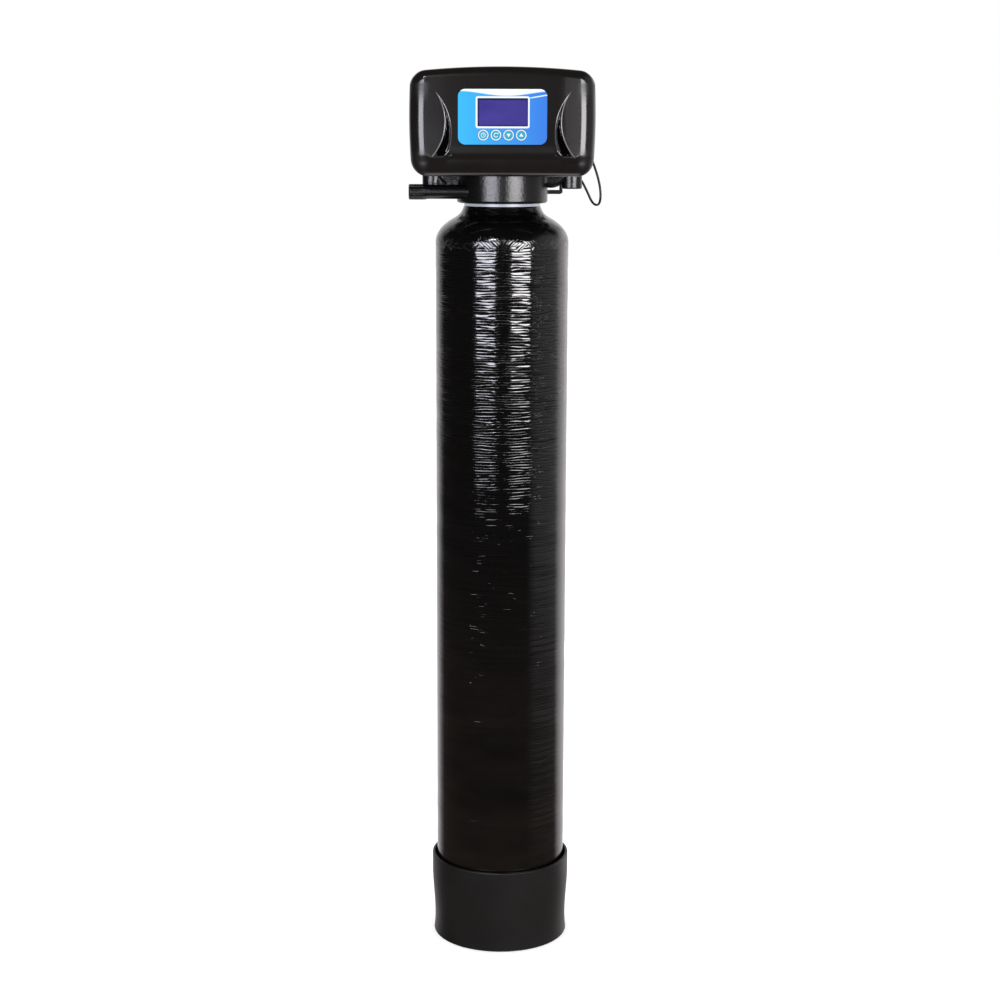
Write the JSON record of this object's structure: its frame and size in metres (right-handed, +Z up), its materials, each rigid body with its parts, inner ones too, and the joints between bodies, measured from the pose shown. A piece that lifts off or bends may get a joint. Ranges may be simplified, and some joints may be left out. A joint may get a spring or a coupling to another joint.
{
  "type": "backwashing carbon water filter",
  "caption": "Tall wound pressure tank with domed ends standing in a round boot, topped by an automatic backwash valve with a rounded control head, display, keys, drain branch and rear ports.",
  "frame": {"origin": "on the floor at the middle of the boot's underside, under the tank's axis", "axes": "+Z up along the tank's axis, the control head's face looks along -Y, +X to the right of a viewer who faces the display"},
  "size_m": [0.2254, 0.1656, 1.0402],
  "materials": {
    "boot": "matte",
    "wound_shell": "gloss",
    "liner": "satin",
    "white_insert": "satin",
    "gravel": "matte",
    "carbon": "matte",
    "pipe": "satin",
    "valve_plastic": "satin",
    "clip_plastic": "satin",
    "inner_plastic": "satin",
    "gears": "satin",
    "ceramic_disc": "satin",
    "seal_rubber": "matte",
    "steel": "satin",
    "motor_can": "satin",
    "circuit_board": "satin",
    "switches": "satin",
    "lcd": "gloss",
    "cover_plastic": "satin",
    "overlay_film": "gloss",
    "window_film": "gloss",
    "key_film": "gloss",
    "lead_sheath": "satin"
  },
  "bodies": {
    "filter": {"base_boot": "boot", "tank_shell": "wound_shell", "tank_liner": "liner", "neck_insert": "white_insert", "gravel_bed": "gravel", "carbon_bed": "carbon", "riser_tube": "pipe", "bottom_strainer": "liner", "top_strainer": "liner", "valve_body": "valve_plastic", "neck_seal": "seal_rubber", "disc_seal": "seal_rubber", "fixed_disc": "ceramic_disc", "thrust_washer": "inner_plastic", "shaft_seal": "seal_rubber", "fitting_nut": "valve_plastic", "mount_plate": "valve_plastic", "plate_screws": "steel", "motor": "motor_can", "motor_screws": "steel", "position_board": "circuit_board", "sensing_screws": "steel", "control_board": "circuit_board", "board_screws": "steel", "display_module": "lcd", "tact_switches": "switches", "front_cover": "cover_plastic", "rear_cover": "cover_plastic", "cover_screws": "steel", "display_overlay": "overlay_film", "display_window": "window_film", "inlet_connector": "valve_plastic", "outlet_connector": "valve_plastic", "port_seals": "seal_rubber", "turbine_support": "inner_plastic", "inlet_branch": "valve_plastic", "outlet_branch": "valve_plastic", "drain_branch": "valve_plastic", "drain_fitting": "inner_plastic", "drain_nut": "valve_plastic", "flow_control": "seal_rubber", "injector_cover": "valve_plastic", "injector_screws": "steel", "flow_probe": "inner_plastic", "lead_gland": "seal_rubber", "power_gland": "seal_rubber", "sensor_lead": "lead_sheath"},
    "disc_drive": {"drive_shaft": "inner_plastic", "moving_disc": "ceramic_disc", "main_gear": "gears", "position_magnet": "steel", "gear_screw": "steel"},
    "motor_drive": {"motor_shaft": "steel", "motor_pinion": "gears"},
    "turbine": {"flow_turbine": "inner_plastic"},
    "menu_button": {"menu_key": "key_film"},
    "manual_button": {"manual_key": "key_film"},
    "down_button": {"down_key": "key_film"},
    "up_button": {"up_key": "key_film"},
    "inlet_lock": {"inlet_clip": "clip_plastic"},
    "outlet_lock": {"outlet_clip": "clip_plastic"}
  },
  "joints": [
    {"name": "disc_turn", "type": "hinge", "parent": "filter", "child": "disc_drive", "pos_m": [0, 0, 0.975], "axis": [0, 1, 0], "continuous": true},
    {"name": "pinion_turn", "type": "hinge", "parent": "filter", "child": "motor_drive", "pos_m": [0.056, 0, 0.975], "axis": [0, 1, 0], "continuous": true},
    {"name": "turbine_spin", "type": "hinge", "parent": "filter", "child": "turbine", "pos_m": [0.056, 0, 0.926], "axis": [0, 1, 0], "continuous": true},
    {"name": "menu_press", "type": "slide", "parent": "filter", "child": "menu_button", "axis": [0, 1, 0], "range_m": [0, 0.0006], "stiffness_N_per_m": 400, "springref_m": -0.0005},
    {"name": "manual_press", "type": "slide", "parent": "filter", "child": "manual_button", "axis": [0, 1, 0], "range_m": [0, 0.0006], "stiffness_N_per_m": 400, "springref_m": -0.0005},
    {"name": "down_press", "type": "slide", "parent": "filter", "child": "down_button", "axis": [0, 1, 0], "range_m": [0, 0.0006], "stiffness_N_per_m": 400, "springref_m": -0.0005},
    {"name": "up_press", "type": "slide", "parent": "filter", "child": "up_button", "axis": [0, 1, 0], "range_m": [0, 0.0006], "stiffness_N_per_m": 400, "springref_m": -0.0005},
    {"name": "inlet_clip_pull", "type": "slide", "parent": "filter", "child": "inlet_lock", "axis": [0, 0, -1], "range_m": [0, 0.02]},
    {"name": "outlet_clip_pull", "type": "slide", "parent": "filter", "child": "outlet_lock", "axis": [0, 0, -1], "range_m": [0, 0.02]}
  ],
  "couplings": [
    {"joint": "pinion_turn", "follows": "disc_turn", "ratio": -3.6667}
  ]
}
